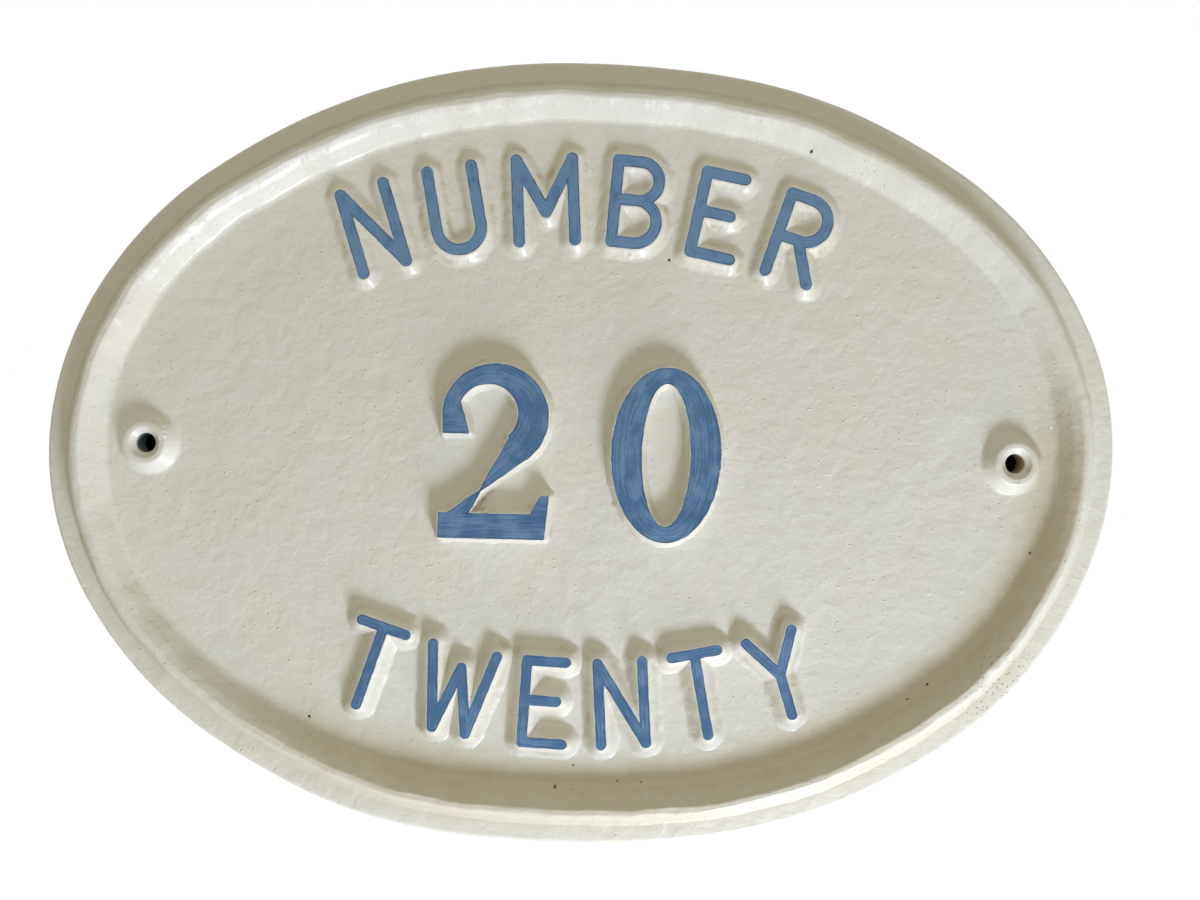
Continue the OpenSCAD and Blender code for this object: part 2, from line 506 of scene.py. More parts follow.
def around(centre, r, degrees, on=0.0):
    """Point at an angle from a centre, moved on along the tangent there."""
    c, s = math.cos(math.radians(degrees)), math.sin(math.radians(degrees))
    return centre[0] + r * c - on * s, centre[1] + r * s + on * c


def touch(point, centre, r):
    """Angle of the line from a point that touches the right side of a circle."""
    dx, dz = centre[0] - point[0], centre[1] - point[1]
    return math.degrees(math.atan2(dz, dx) - math.asin(r / math.hypot(dx, dz)))


class Nought:
    """An oval with thick sides and thin ends."""

    def __init__(self, w, h, thick, thin):
        self.outer = (w / 2, h / 2)
        self.inner = (w / 2 - thick, h / 2 - thin)

    @staticmethod
    def to_oval(x, z, half_w, half_h):
        k = math.hypot(x / half_w, z / half_h)
        g = math.hypot(x / half_w**2, z / half_h**2)
        return k * (k - 1.0) / g if g > 1e-9 else -min(half_w, half_h)

    def __call__(self, x, z):
        edge = max(self.to_oval(x, z, *self.outer), -self.to_oval(x, z, *self.inner))
        mid_w, mid_h = (self.outer[0] + self.inner[0]) / 2, (self.outer[1] + self.inner[1]) / 2
        turn = abs(math.atan2(z / mid_h, x / mid_w))
        return edge, turn * (mid_w + mid_h) / 2, math.hypot(x / mid_w, z / mid_h) * mid_w


class Two:
    """A bowl that thins round to a flared end, a straight neck and a foot with a spur."""

    def __init__(self, w, h, thick, thin, corner=0.6):
        half_w, low = w / 2, -h / 2
        self.corner = corner
        self.bowl_r = half_w - 0.5
        self.bowl = (0.0, h / 2 - self.bowl_r)
        self.eye_r = self.bowl_r - (thick + thin) / 2
        self.eye = (self.bowl[0] + (thin - thick) / 2, self.bowl[1] + 0.8)
        foot_h = thin * 1.5
        end_z = self.bowl[1] - thin * 0.9
        toe = (corner - half_w, low + foot_h * 0.7)
        heel = (thin * 1.7 - half_w, low + foot_h)
        neck_a = touch(heel, self.bowl, self.bowl_r) - 90
        inner_a = touch(toe, self.eye, self.eye_r) - 90
        rim_r, inner_r = self.bowl_r - corner, self.eye_r + corner
        self.gap = [
            self.eye,
            around(self.bowl, 2 * self.bowl_r, 178),
            around(self.bowl, 3 * self.bowl_r, 240),
            around(self.bowl, 2 * self.bowl_r, neck_a - 3),
        ]
        self.slabs = [
            [
                around(self.bowl, rim_r, 172),
                (corner + 0.2 - self.bowl_r, end_z),
                (thin * 1.5 - self.bowl_r, end_z),
                around(self.eye, inner_r, 158),
            ],
            [
                around(self.bowl, rim_r, neck_a, corner),
                toe,
                heel,
                around(self.eye, inner_r, inner_a, 2 * corner),
            ],
            [
                (corner - half_w, low + corner),
                (half_w - corner - 1, low + corner),
                (half_w - corner - 0.4, low + foot_h - corner),
                (corner - half_w, low + foot_h - corner),
            ],
            [
                (half_w - corner - 1, low + corner),
                (half_w - corner, low + foot_h + thin * 0.9),
                (half_w - corner - thin * 0.35, low + foot_h + thin * 0.9),
                (half_w - thin, low + foot_h - corner),
            ],
        ]
        self.neck_turn = math.radians(neck_a - 90)

    def __call__(self, x, z):
        ring = max(
            math.hypot(x - self.bowl[0], z - self.bowl[1]) - self.bowl_r,
            self.eye_r - math.hypot(x - self.eye[0], z - self.eye[1]),
            -to_polygon(x, z, self.gap),
        )
        parts = [ring] + [to_polygon(x, z, slab) - self.corner for slab in self.slabs]
        edge = min(parts)
        which = parts.index(edge)
        if which == 0:
            turn = math.atan2(z - self.bowl[1], x - self.bowl[0])
            return edge, turn * BOWL_BRUSH_R, math.hypot(x - self.bowl[0], z - self.bowl[1])
        if which == 2:
            c, s = math.cos(self.neck_turn), math.sin(self.neck_turn)
            return edge, x * c + z * s, x * s - z * c
        return edge, x, z


# Mesh work


def front_y(height_mm):
    """The place along Y of a height over the plate's back."""
    return -height_mm * MM


def rim_share(inset, from_boss):
    """1 on the rim, 0 on the face and the bosses, for what moves with the outline."""
    share = 1.0 - smooth_step(17.0, 34.0, inset)
    return share * smooth_step(11.0, 24.0, from_boss)


def grime_and_shade_at(x, z, inset):
    """How strongly the rim and the face beside it are darkened, from 0 to about 1: painted
    shade in the trough inside the bead at the lower right, at the bead's outer foot on the
    upper left and along the lower side, and on the crest at the bottom, with some dirt.
    """
    inner_side = 0.75 * smooth_step(10.4, 12.2, inset) + 0.1 * smooth_step(13.5, 16.0, inset)
    inner_side *= 1.0 - smooth_step(18.0, 29.0, inset)
    foot_line = 1.0 - smooth_step(0.3, 1.5, abs(inset - 6.4))
    crest = 1.0 - smooth_step(2.2, 3.2, abs(inset - 8.6))
    outer_foot = 1.0 - smooth_step(0.8, 2.4, abs(inset - 6.2))
    lower_right = smooth_step(0.12, 0.5, x / 300 - z / 130)
    upper_left = smooth_step(-0.2, 0.4, z / 130 - x / 300)
    bottom = smooth_step(0.1, 0.6, -z / 110 - abs(x) / 300)
    low = smooth_step(0.1, 0.5, -z / 110)
    grime_and_shade = inner_side * lower_right + 0.8 * foot_line * upper_left
    return grime_and_shade + 0.6 * crest * bottom + 0.5 * outer_foot * low


def section(bm, points):
    """A chain of edges in the plane y up, x across, its corners rounded by vertex bevels.

    Each point is (across mm, height mm, rounding mm)."""
    verts = [bm.verts.new((x * MM, front_y(h), 0.0)) for x, h, _ in points]
    for a, b in zip(verts, verts[1:]):
        bm.edges.new((a, b))
    for i in range(1, len(points) - 1):
        radius = points[i][2]
        if radius <= 0:
            continue
        before = Vector(points[i - 1][:2]) - Vector(points[i][:2])
        after = Vector(points[i + 1][:2]) - Vector(points[i][:2])
        turn = math.pi - before.angle(after)
        bmesh.ops.bevel(
            bm,
            geom=[verts[i]],
            offset=radius * math.tan(turn / 2) * MM,
            offset_type="OFFSET",
            segments=max(2, int(turn * 6)),
            profile=0.5,
            affect="VERTICES",
            material=-1,
        )
    return list(bm.verts), list(bm.edges)


def add_object(bm, name, material):
    """Makes an object of the scene from a bmesh."""
    mesh = bpy.data.meshes.new(name)
    bm.to_mesh(mesh)
    bm.free()
    mesh.materials.append(material)
    made = bpy.data.objects.new(name, mesh)
    bpy.context.scene.collection.objects.link(made)
    return made


def finish_piece(bm, name, material):
    """Makes the object, its shading and its ties to the frame."""
    for face in bm.faces:
        face.smooth = True
    for edge in bm.edges:
        if len(edge.link_faces) == 2 and edge.calc_face_angle(0.0) > SHARP_TURN:
            edge.smooth = False
    piece = add_object(bm, name, material)
    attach(piece, BODY)
    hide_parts("plaque")


def spin(bm, geom, centre, axis, angle, steps, closed):
    """Sweeps a section round an axis."""
    return bmesh.ops.spin(
        bm,
        geom=geom,
        cent=centre,
        axis=axis,
        dvec=(0, 0, 0),
        angle=angle,
        steps=steps,
        use_merge=closed,
        use_duplicate=False,
    )


def make_rim(bm, p, oval):
    """The rim: its section spun in a chain round the centres of the four arcs."""
    t, ledge, bead, rise = mm(p.thickness), mm(p.ledge), mm(p.bead_w), mm(p.bead_rise)
    edge_r, crest_r, foot_r = mm(p.edge_r), mm(p.crest_r), mm(p.foot_r)
    run = rise / math.tan(p.bead_slope)
    shoulder = ledge + bead - run - INNER_EASE
    points = [
        (0.4, 0.0, 0.0),
        (0.0, 0.4, 0.0),
        (0.0, t, edge_r),
        (ledge, t, foot_r * 0.6),
        (ledge + run, t + rise, crest_r * 0.8),
        (shoulder, t + rise, crest_r * 0.6),
        (shoulder + SHOULDER_RUN, t + rise - SHOULDER_FALL, crest_r * 1.5),
        (ledge + bead, t, foot_r * 1.1),
        (ledge + bead + FLAT_BAND, t, 0.0),
    ]
    verts, edges = section(bm, [(-x, h, r) for x, h, r in points])
    bmesh.ops.translate(bm, verts=verts, vec=((oval.end_x + oval.end_r) * MM, 0, 0))
    turn = Matrix.Rotation(oval.meet, 3, "Y")
    bmesh.ops.rotate(bm, verts=verts, cent=(oval.end_x * MM, 0, 0), matrix=turn)
    chain = verts + edges
    arcs = (
        ((oval.end_x, 0.0), 2 * oval.meet, END_STEPS),
        ((0.0, -oval.side_z), math.pi - 2 * oval.meet, SIDE_STEPS),
        ((-oval.end_x, 0.0), 2 * oval.meet, END_STEPS),
        ((0.0, oval.side_z), math.pi - 2 * oval.meet, SIDE_STEPS),
    )
    for (cx, cz), angle, steps in arcs:
        result = spin(bm, chain, (cx * MM, 0, cz * MM), (0, -1, 0), angle, steps, False)
        chain = result["geom_last"]
    bmesh.ops.remove_doubles(bm, verts=bm.verts, dist=0.00002)


def make_boss(p, x):
    """A boss with its countersunk through hole, spun about its own axis."""
    bm = bmesh.new()
    t, hole, base = mm(p.thickness), mm(p.hole), mm(p.boss_base)
    top = t + mm(p.boss_rise)
    points = [
        (base + FLAT_RING, t, 0.0),
        (base, t, 1.4),
        (mm(p.boss_top), top, 1.0),
        (mm(p.sink), top, 0.8),
        (hole, top - mm(p.sink_depth), 0.7),
        (hole, 0.0, 0.0),
    ]
    verts, edges = section(bm, points)
    spin(bm, verts + edges, (0, 0, 0), (0, 1, 0), 2 * math.pi, BOSS_STEPS, True)
    bmesh.ops.remove_doubles(bm, verts=bm.verts, dist=0.00001)
    bmesh.ops.translate(bm, verts=bm.verts, vec=(x * MM, 0, 0))
    return bm


def add_bmesh(bm, other):
    """Puts one bmesh's shape into another."""
    mesh = bpy.data.meshes.new("part")
    other.to_mesh(mesh)
    other.free()
    bm.from_mesh(mesh)
    bpy.data.meshes.remove(mesh)


def open_edges(bm, test):
    """Edges on an opening whose two ends pass the test."""
    return [e for e in bm.edges if e.is_boundary and all(test(v.co) for v in e.verts)]


def flat_grid(bm, half_w, half_h, pitch):
    """A grid of squares in the plane of the wall, facing the front, sizes in mm."""
    size = Matrix.Diagonal((half_w * MM, half_h * MM, 1, 1))
    return bmesh.ops.create_grid(
        bm,
        x_segments=round(2 * half_w / pitch),
        y_segments=round(2 * half_h / pitch),
        size=1.0,
        matrix=Matrix.Rotation(math.pi / 2, 4, "X") @ size,
    )["verts"]


def make_casting(p, oval):
    """The plate with its rim and bosses, one closed shell."""
    bm = bmesh.new()
    make_rim(bm, p, oval)
    boss_x = mm(p.screw_spacing) / 2
    for side in (-1, 1):
        add_bmesh(bm, make_boss(p, side * boss_x))
    t = mm(p.thickness)
    band = mm(p.ledge) + mm(p.bead_w) + FLAT_BAND + JOIN_GAP
    ring = mm(p.boss_base) + FLAT_RING + JOIN_GAP
    half_w, half_h = mm(p.width) / 2 - FACE_MARGIN, mm(p.height) / 2 - FACE_MARGIN
    grid = flat_grid(bm, half_w, half_h, FACE_PITCH)
    outside = []
    for v in grid:
        v.co.y = front_y(t)
        x, z = v.co.x / MM, v.co.z / MM
        if oval.inset(x, z) < band or math.hypot(abs(x) - boss_x, z) < ring:
            outside.append(v)
    bmesh.ops.delete(bm, geom=outside, context="VERTS")

    def at_face(co):
        return abs(co.y - front_y(t)) < 1e-6

    def at_back(co):
        return abs(co.y) < 1e-6

    loose_ends = [v for v in bm.verts if not v.link_faces]
    bmesh.ops.delete(bm, geom=loose_ends, context="VERTS")
    for level in (at_face, at_back):
        gap = open_edges(bm, level)
        bmesh.ops.triangle_fill(bm, use_beauty=True, use_dissolve=False, edges=gap)
    bmesh.ops.recalc_face_normals(bm, faces=bm.faces)
    return bm


def settle(bm, p, oval):
    """Gives the drawn casting the real outline and the unevenness of a sand casting."""
    boss_x = mm(p.screw_spacing) / 2
    # This layer says where the rim is darkened: painted shade, with some dirt
    grime_and_shade = bm.verts.layers.float.new("grime_and_shade")
    shares = []
    for v in bm.verts:
        x, z, h = v.co.x / MM, v.co.z / MM, -v.co.y / MM
        inset = oval.inset(x, z)
        share = rim_share(inset, math.hypot(abs(x) - boss_x, z))
        shares.append(share)
        on_bead = smooth_step(3.0, 7.0, inset) * (1.0 - smooth_step(17.0, 24.0, inset))
        wander = (0.55 * lumps(x, z, 11.0, 21.3) + 0.15 * lumps(x, z, 4.5, 14.9)) * on_bead
        moved = share * (oval.straying(math.atan2(z, x)) + wander)
        grow = 1.0 + moved / max(math.hypot(x, z), 1.0)
        x, z = x * grow, z * grow
        if h > WAVES_FROM:
            h += sand_waves(x, z)
            for cx, cz, radius, lift in CREST_FLAWS:
                h += lift * math.exp(-((x - cx) ** 2 + (z - cz) ** 2) / radius**2)
        v[grime_and_shade] = grime_and_shade_at(x, z, inset)
        v.co = Vector((x * MM, front_y(h), z * MM))
    cad_low, cad_high = cad_box
    for axis in (0, 2):
        low = min(v.co[axis] for v in bm.verts)
        high = max(v.co[axis] for v in bm.verts)
        scale = (cad_high[axis] - cad_low[axis]) * FIT / (high - low)
        middle = (low + high) / 2
        for v, share in zip(bm.verts, shares):
            v.co[axis] += ((v.co[axis] - middle) * scale - v.co[axis]) * share
    for v in bm.verts:
        v.co.y = max(v.co.y, cad_low.y + FRONT_GAP)


def make_relief(bm, spot, half_w, half_h, turn, pitch, shape, profile, reach):
    """One raised letter or numeral: a fine grid lifted by its distance from the strokes.

    shape gives the distance from the edge of the flat top and the brush's way there."""
    before = set(bm.verts)
    verts = flat_grid(bm, half_w, half_h, pitch)
    edge_layer = bm.verts.layers.float["from_edge"]
    brush_layer = bm.verts.layers.float_vector["brush"]
    c, s = math.cos(turn), math.sin(turn)
    outside = []
    for v in verts:
        x, z = v.co.x / MM, v.co.z / MM
        edge, along, across = shape(x, z)
        if edge > reach:
            outside.append(v)
            continue
        wx, wz = spot[0] + x * c - z * s, spot[1] + x * s + z * c
        edge += 0.10 * lumps(wx, wz, 2.4, 3.1) + 0.05 * lumps(wx, wz, 0.9, 8.2)
        v[edge_layer] = edge * MM
        v[brush_layer] = Vector((along * MM, across * MM, (spot[0] + z) * MM))
        h = profile(edge, wx, wz) + sand_waves(wx, wz)
        v.co = Vector((wx * MM, front_y(h), wz * MM))
    bmesh.ops.delete(bm, geom=outside, context="VERTS")
    rest = [v for v in bm.verts if v not in before]
    loose = [v for v in rest if not v.link_faces]
    bmesh.ops.delete(bm, geom=loose, context="VERTS")
    rim = [e for e in bm.edges if e.is_boundary and e.verts[0] not in before]
    walls = bmesh.ops.extrude_edge_only(bm, edges=rim)["geom"]
    for v in walls:
        if isinstance(v, bmesh.types.BMVert):
            v.co.y = front_y(SKIRT_END)
    foot = [e for e in walls if isinstance(e, bmesh.types.BMEdge) and e.is_boundary]
    bmesh.ops.triangle_fill(bm, use_beauty=True, use_dissolve=False, edges=foot)


def relief_bmesh():
    """An empty bmesh with the layers that the lettering's paint reads."""
    bm = bmesh.new()
    bm.verts.layers.float.new("from_edge")
    bm.verts.layers.float_vector.new("brush")
    return bm


def side_profile(plate, rise, run, foot_k):
    """Height over the back for a distance out from the edge of the flat top."""

    def height(edge, x, z):
        ragged = edge + 0.5 * lumps(x, z, 2.9, 12.4) * smooth_step(0.3 * run, 1.2 * run, edge)
        side = rise * (1.0 - ragged / run)
        h = soft_max(soft_min(rise, side, TOP_ROUNDING), 0.0, foot_k)
        top = 0.025 * lumps(x, z, 5.0, 6.6) * smooth_step(0.3 * rise, rise, h)
        fade = max(ragged - run - foot_k * run / rise * 0.8, 0.0)
        return plate + h + top - 0.015 - 0.10 * fade * fade

    return height


def word_places(word, bend, radius, middle, gap):
    """Centre and turn of each letter of a word set round an arc."""
    halves = []
    for letter in word:
        xs = [s[1] + (s[3] if s[0] == "arc" else 0.0) for s in LETTERS[letter]]
        xs += [s[3] if s[0] == "line" else s[1] for s in LETTERS[letter]]
        halves.append(max(xs))
    stops = [0.0]
    for a, b in zip(halves, halves[1:]):
        stops.append(stops[-1] + a + b + gap)
    for letter, stop in zip(word, stops):
        angle = (stop - stops[-1] / 2) / radius
        x = radius * math.sin(angle)
        z = middle - bend * radius * (1.0 - math.cos(angle))
        yield letter, (x, z), -bend * angle


def make_word(word, bend, plate, radius, middle, gap, rise, run, stroke):
    """A word of raised letters set round an arc, in the order of WORD_SIZES."""
    bm = relief_bmesh()
    half = stroke / 2
    reach = run * RAGGED_RUN + LETTER_APRON
    profile = side_profile(plate, rise, run, LETTER_FILLET)
    for letter, spot, turn in word_places(word, bend, radius, middle, gap):
        strokes = LETTERS[letter]

        def shape(x, z, strokes=strokes):
            far, along = to_strokes(strokes, x, z)
            return far - half, along, far

        out = half + reach + 0.5
        half_w = max(abs(s[1]) + (s[3] if s[0] == "arc" else 0.0) for s in strokes) + out
        half_h = CAP + out
        make_relief(bm, spot, half_w, half_h, turn, LETTER_PITCH, shape, profile, reach)
    bmesh.ops.recalc_face_normals(bm, faces=bm.faces)
    return bm


def make_number(p, plate):
    """The two big numerals side by side."""
    bm = relief_bmesh()
    w, h, run = mm(p.number_w), mm(p.number_h), mm(p.number_run)
    thick, thin = mm(p.thick), mm(p.thin)
    reach = run * RAGGED_RUN + NUMERAL_APRON
    half_w, half_h = w / 2 + reach + 1, h / 2 + reach + 1
    profile = side_profile(plate, mm(p.number_rise), run, NUMERAL_FILLET)
    for numeral, side in ((Two, -1), (Nought, 1)):
        shape = numeral(w, h, thick, thin)
        spot = (side * mm(p.number_step) / 2, 0.0)
        make_relief(bm, spot, half_w, half_h, 0.0, NUMERAL_PITCH, shape, profile, reach)
    bmesh.ops.recalc_face_normals(bm, faces=bm.faces)
    return bm


# Paint


class Value:
    """A socket of a node tree that can be used in sums."""

    def __init__(self, tree, socket):
        self.tree = tree
        self.socket = socket

    def sum_with(self, operation, first, second):
        return self.tree.node("ShaderNodeMath", {"operation": operation}, {0: first, 1: second})

    def __add__(self, other):
        return self.sum_with("ADD", self, other)

    def __radd__(self, other):
        return self.sum_with("ADD", other, self)

    def __sub__(self, other):
        return self.sum_with("SUBTRACT", self, other)

    def __rsub__(self, other):
        return self.sum_with("SUBTRACT", other, self)

    def __mul__(self, other):
        return self.sum_with("MULTIPLY", self, other)

    def __rmul__(self, other):
        return self.sum_with("MULTIPLY", other, self)

    def __truediv__(self, other):
        return self.sum_with("DIVIDE", self, other)


class Tree:
    """A node tree with one method that adds any node."""

    def __init__(self, owner):
        owner.use_nodes = True
        self.nodes = owner.node_tree.nodes
        self.links = owner.node_tree.links
        self.nodes.clear()

    def node(self, kind, settings=None, sockets=None, out=0):
        made = self.nodes.new(kind)
        for key, value in (settings or {}).items():
            setattr(made, key, value)
        for key, value in (sockets or {}).items():
            socket = made.inputs[key]
            if isinstance(value, Value):
                self.links.new(value.socket, socket)
            elif socket.type == "RGBA" and len(value) == 3:
                socket.default_value = (*value, 1.0)
            else:
                socket.default_value = value
        self.last = made
        return Value(self, made.outputs[out]) if made.outputs else made

    def noise(self, where, scale, detail=2.0, rough=0.5, distortion=0.0):
        """Clouds between 0 and 1, scale to the metre."""
        sockets = {"Vector": where, "Scale": scale, "Detail": detail, "Roughness": rough}
        sockets["Distortion"] = distortion
        return self.node("ShaderNodeTexNoise", {"noise_dimensions": "3D"}, sockets)

    def dots(self, flat, pitch, radius, share):
        """Round dots strewn over the face, sizes in mm: 1 in a dot's middle, 0 outside."""
        settings = {"feature": "F1", "voronoi_dimensions": "2D"}
        far = self.node(
            "ShaderNodeTexVoronoi", settings, {"Vector": flat, "Scale": 1.0 / (pitch * MM)}
        )
        tint = Value(self, self.last.outputs["Color"])
        pick = self.node("ShaderNodeSeparateColor", {}, {0: tint})
        dot = self.ramp(far, radius / pitch, 0.1 * radius / pitch)
        return dot * self.ramp(pick, 1.0 - share, 1.03 - share)

    def ramp(self, value, low, high):
        return self.node(
            "ShaderNodeMapRange",
            {"interpolation_type": "SMOOTHSTEP", "clamp": True},
            {"Value": value, "From Min": low, "From Max": high, "To Min": 0.0, "To Max": 1.0},
        )

    def mix(self, factor, first, second):
        return self.node(
            "ShaderNodeMix",
            {"data_type": "RGBA", "blend_type": "MIX", "clamp_factor": True},
            {0: factor, 6: first, 7: second},
            out=2,
        )

    def scaled(self, where, scale, turn=(0.0, 0.0, 0.0)):
        return self.node(
            "ShaderNodeMapping", {}, {"Vector": where, "Scale": scale, "Rotation": turn}
        )

    def near(self, flat, spot, low, high):
        """1 within low of a spot (x, z) of the face, 0 beyond high, lengths in mm."""
        far = self.node(
            "ShaderNodeVectorMath",
            {"operation": "DISTANCE"},
            {0: flat, 1: (spot[0] * MM, spot[1] * MM, 0.0)},
            out=1,
        )
        return self.ramp(far, high * MM, low * MM)

    def backdrop(self):
        """1 for what the camera sees, straight, off gloss or through glass, else 0."""
        self.node("ShaderNodeLightPath")
        names = ("Is Camera Ray", "Is Glossy Ray", "Is Transmission Ray")
        rays = [Value(self, self.last.outputs[name]) for name in names]
        return self.ramp(rays[0] + rays[1] + rays[2], 0.0, 1.0)

    def spots(self, flat, places):
        """1 on any of the given spots (x, z, radius)."""
        total = 0.0
        for x, z, radius in places:
            total = total + self.near(flat, (x, z), radius * 0.5, radius)
        return total


class CreamPaint:
    """Gloss paint brushed over a sand casting, to which a piece adds its own marks.

    Its heights and distances are in mm."""

    def __init__(self, name, colours):
        self.material = bpy.data.materials.new(name)
        self.colours = colours
        self.t = t = Tree(self.material)
        self.where = where = t.node("ShaderNodeTexCoord", out=3)
        self.flat = flat = t.scaled(where, (1.0, 0.0, 1.0), (-math.pi / 2, 0.0, 0.0))
        broad = t.noise(where, 45.0)
        self.swell = swell = t.noise(where, 230.0, distortion=0.4)
        peel = t.noise(where, 700.0, 2.0, 0.55, 0.2)
        brush = t.noise(t.scaled(where, (0.35, 1.0, 1.0)), 520.0, 2.0, 0.6, 0.5)
        strewn = t.ramp(broad, 0.42, 0.62)
        grit = t.dots(flat, 3.2, 0.42, 0.22) * (0.25 + strewn * 0.75)
        dents = t.dots(flat, 4.1, 0.33, 0.07)
        self.height = swell * 0.36 + peel * 0.12 + brush * 0.05 + grit * 0.18 - dents * 0.16
        thick = t.ramp(broad, 0.3, 0.75) * 0.5
        self.colour = t.mix(thick, colours.cream, colours.thick_cream)
        self.rough = 0.31 + peel * 0.12

    def cover(self, share, tint):
        """Lays another colour over the paint."""
        self.colour = self.t.mix(share, self.colour, tint)

    def blue_tops(self, wander, painted_light_shift):
        """Blue on the flat tops: how far its edge wanders and how light it is, which paints
        light and shade on a piece's blue.
        """
        t, where, flat, colours = self.t, self.where, self.flat, self.colours
        edge = t.node("ShaderNodeAttribute", {"attribute_name": "from_edge"}, out=2) / MM
        stroke = t.node("ShaderNodeAttribute", {"attribute_name": "brush"}, out=1)
        wobble = t.noise(where, 330.0)
        margin = edge + (wobble - 0.5) * wander
        blue = t.ramp(margin, wander * -0.35, wander * -0.35 - 0.12)
        blue = blue * (1.0 - t.spots(flat, BLUE_NICKS))
        streak = t.noise(t.scaled(stroke, (110.0, 2300.0, 60.0)), 1.0, 3.0, 0.75, 0.5)
        patchy = t.noise(where, 210.0)
        shade = t.ramp(streak * 0.6 + patchy * 0.4, 0.41 - painted_light_shift, 0.62 - painted_light_shift)
        paint = t.mix(shade, colours.blue, colours.light_blue)
        line = t.ramp(margin + wander * 0.35, -0.6, -0.25) * t.ramp(wobble, 0.35, 0.6) * 0.7
        paint = t.mix(line, paint, colours.edge_blue)
        clouds = t.ramp(t.noise(where, 150.0, 3.0, 0.6), 0.52, 0.74)
        # A darker ring round the foot of each stroke: partly dirt, partly painted shade in the
        # crease
        foot_dirt_and_shade = t.ramp(edge, 0.7, 1.6) * t.ramp(edge, 3.6, 1.8) * (0.15 + clouds * 0.45)
        # Darker patches in the inner corners: partly stain, partly painted shade
        corners = t.spots(flat, STAINS_AND_SHADE) * t.ramp(t.noise(where, 420.0, 3.0, 0.7), 0.4, 0.62)
        self.cover(foot_dirt_and_shade, colours.stain_and_shade)
        self.cover(corners * 0.55, colours.stain_and_shade)
        self.cover(blue, paint)
        self.height = self.height * (1.0 - blue * 0.75) + blue * 0.06 + streak * blue * 0.07
        self.rough = self.rough + blue * 0.08

    def casting_marks(self, spacing, radius, bore_top):
        """Painted shade with some grime on the rim, flaws, painted shade in the pits and
        painted glints on the bubbles, a rough back, and painted shade and light on the walls of
        the screw holes.

        Takes the holes' distance and radius and the height where their bores begin."""
        t, where, flat, colours = self.t, self.where, self.flat, self.colours
        level = t.node("ShaderNodeSeparateXYZ", {}, {0: where}, out=1) / -MM
        front = t.ramp(level, 0.3, 0.9)
        behind = t.ramp(level, 0.3, 0.05)
        # Darkens the rim where the layer made in settle says: painted shade, with some dirt
        grime_and_shade = t.node("ShaderNodeAttribute", {"attribute_name": "grime_and_shade"}, out=2)
        self.cover(grime_and_shade * (0.45 + self.swell * 0.5), colours.grime_and_shade)
        black = t.spots(flat, BLACK_PINHOLES) * front
        brown = t.spots(flat, BROWN_PINHOLES) * front
        bubbles_and_glints = t.spots(flat, BUBBLES_AND_GLINTS) * front
        pits = t.dots(flat, 1.4, 0.3, 0.5) * t.near(flat, PITTED, 4.0, 20.0) * front
        # Painted shade in the pits
        self.cover(pits * 0.55, colours.stain_and_shade)
        self.cover(brown, colours.rust)
        self.cover(black, colours.iron)
        # Painted glints: the bubbles are lightened to near white
        self.cover(bubbles_and_glints * 0.8, colours.bubble_glint)
        sand = t.noise(where, 620.0, 3.0, 0.6)
        self.cover(behind * t.ramp(sand, 0.45, 0.7) * 0.4, colours.grime_and_shade)
        height = self.height - (black + brown + pits) * 0.3 + bubbles_and_glints * 0.1
        height = height + behind * sand * 0.7
        deep = t.ramp(level, bore_top, bore_top - 1.0)
        # Painted shade on the left bore's wall and painted light on the right one's
        for side, wall in ((-1, colours.left_bore_painted_shade), (1, colours.right_bore_painted_light)):
            middle = (side * spacing / 2, 0.0)
            height = height * (1.0 - t.near(flat, middle, radius * 1.2, radius * 1.7))
            self.cover(deep * t.near(flat, middle, radius + 0.1, radius + 0.25), wall)
        self.height = height

    def finish(self):
        """Joins it all in the shader and returns the material."""
        t = self.t
        bump = {"Strength": 1.0, "Distance": MM, "Height": self.height}
        sockets = {
            "Base Color": self.colour,
            "Roughness": self.rough,
            "IOR": 1.5,
            "Specular IOR Level": 0.38,
            "Coat Weight": 0.2,
            "Coat Roughness": 0.11,
            "Normal": t.node("ShaderNodeBump", {}, bump),
        }
        shader = t.node("ShaderNodeBsdfPrincipled", {}, sockets)
        t.node("ShaderNodeOutputMaterial", {}, {"Surface": shader})
        return self.material


# Operators


class PLAQUE_OT_casting(bpy.types.Operator):
    """Make the plate with its rim bead and bosses"""

    bl_idname = "plaque.casting"
    bl_label = "Casting"

    def execute(self, context):
        p = context.scene.plaque_plate
        oval = Oval(p)
        bm = make_casting(p, oval)
        settle(bm, p, oval)
        holes = [e for e in bm.edges if not e.is_manifold]
        if holes:
            raise RuntimeError(f"the casting has {len(holes)} open edges")
        paint = CreamPaint("cream_gloss", context.scene.plaque_paint)
        bore_top = mm(p.thickness) + mm(p.boss_rise) - mm(p.sink_depth)
        paint.casting_marks(mm(p.screw_spacing), mm(p.hole), bore_top)
        finish_piece(bm, "casting", paint.finish())
        return {"FINISHED"}


class PLAQUE_OT_words(bpy.types.Operator):
    """Make the raised words over and under the number"""

    bl_idname = "plaque.words"
    bl_label = "Words"

    def execute(self, context):
        p = context.scene.plaque_letters
        plate = mm(context.scene.plaque_plate.thickness)
        for name, word, bend, painted_light_shift in WORDS:
            sizes = [mm(getattr(p, f"{name}_{key}")) for key in WORD_SIZES]
            bm = make_word(word, bend, plate, *sizes)
            paint = CreamPaint(f"{name}_word_paint", context.scene.plaque_paint)
            paint.blue_tops(LETTER_WANDER, painted_light_shift)
            finish_piece(bm, f"{name}_word", paint.finish())
        return {"FINISHED"}


